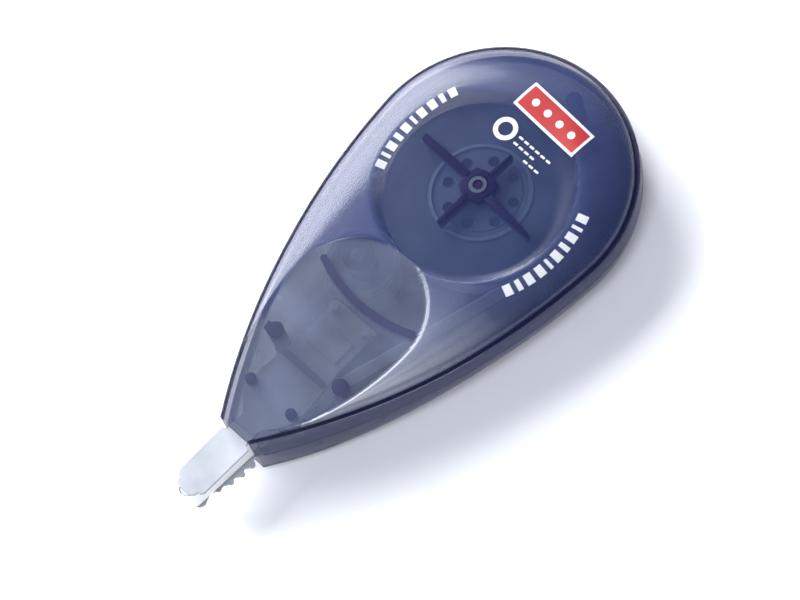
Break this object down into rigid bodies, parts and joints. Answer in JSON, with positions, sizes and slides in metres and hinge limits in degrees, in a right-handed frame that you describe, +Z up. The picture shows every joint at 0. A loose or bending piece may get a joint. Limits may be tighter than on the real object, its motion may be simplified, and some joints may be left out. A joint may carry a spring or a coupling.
{
  "type": "correction tape roller",
  "caption": "Flat drop-shaped correction tape dispenser with a geared supply and take-up reel between two tinted shells and a narrow tip with a press roller.",
  "frame": {"origin": "under the middle of the whole length, on the surface that the roller lies on", "axes": "+X from the round end towards the tip, +Z up through the flat thickness, from the rear face to the front face"},
  "size_m": [0.0882, 0.0436, 0.0132],
  "materials": {
    "tinted_shell": "dark blue transparent moulded plastic, polished",
    "blue_reel": "satin navy moulded plastic",
    "white_plastic": "translucent white moulded plastic, satin",
    "correction_film": "white correction film on a carrier, matt",
    "carrier_film": "thin translucent carrier film",
    "steel": "small bright steel pins and spring ring"
  },
  "bodies": {
    "housing": {"front_shell": "tinted_shell", "rear_shell": "tinted_shell", "supply_axle": "blue_reel", "take_up_axle": "blue_reel", "head_frame": "white_plastic", "head_cover": "white_plastic", "feed_guide_pin": "steel", "return_guide_pin": "steel", "tip_pin": "steel", "tape_feed": "correction_film", "tape_return": "carrier_film"},
    "supply_reel": {"supply_core": "blue_reel", "supply_flange": "blue_reel", "supply_tape": "correction_film", "clutch_ring": "steel", "supply_gear": "blue_reel"},
    "take_up_reel": {"take_up_gear": "white_plastic", "take_up_core": "white_plastic", "take_up_tape": "carrier_film"},
    "feed_guide": {"feed_guide_roller": "white_plastic"},
    "return_guide": {"return_guide_roller": "white_plastic"},
    "tip": {"tip_roller": "white_plastic"}
  },
  "joints": [
    {"name": "supply_spin", "type": "hinge", "parent": "housing", "child": "supply_reel", "pos_m": [-0.01928, 0, 0.0066], "axis": [0, 0, 1], "continuous": true},
    {"name": "take_up_spin", "type": "hinge", "parent": "housing", "child": "take_up_reel", "pos_m": [0.00032, -0.006, 0.0066], "axis": [0, 0, 1], "continuous": true},
    {"name": "feed_guide_spin", "type": "hinge", "parent": "housing", "child": "feed_guide", "pos_m": [0.02472, 0.00365, 0.0066], "axis": [0, 0, 1], "continuous": true},
    {"name": "return_guide_spin", "type": "hinge", "parent": "housing", "child": "return_guide", "pos_m": [0.02472, -0.00105, 0.0066], "axis": [0, 0, 1], "continuous": true},
    {"name": "tip_spin", "type": "hinge", "parent": "housing", "child": "tip", "pos_m": [0.04262, 0, 0.0066], "axis": [0, 0, 1], "continuous": true}
  ],
  "couplings": [
    {"joint": "take_up_spin", "follows": "supply_spin", "ratio": -2.7273},
    {"joint": "feed_guide_spin", "follows": "supply_spin", "ratio": -10.923},
    {"joint": "return_guide_spin", "follows": "supply_spin", "ratio": 10.923},
    {"joint": "tip_spin", "follows": "supply_spin", "ratio": 11.833}
  ]
}
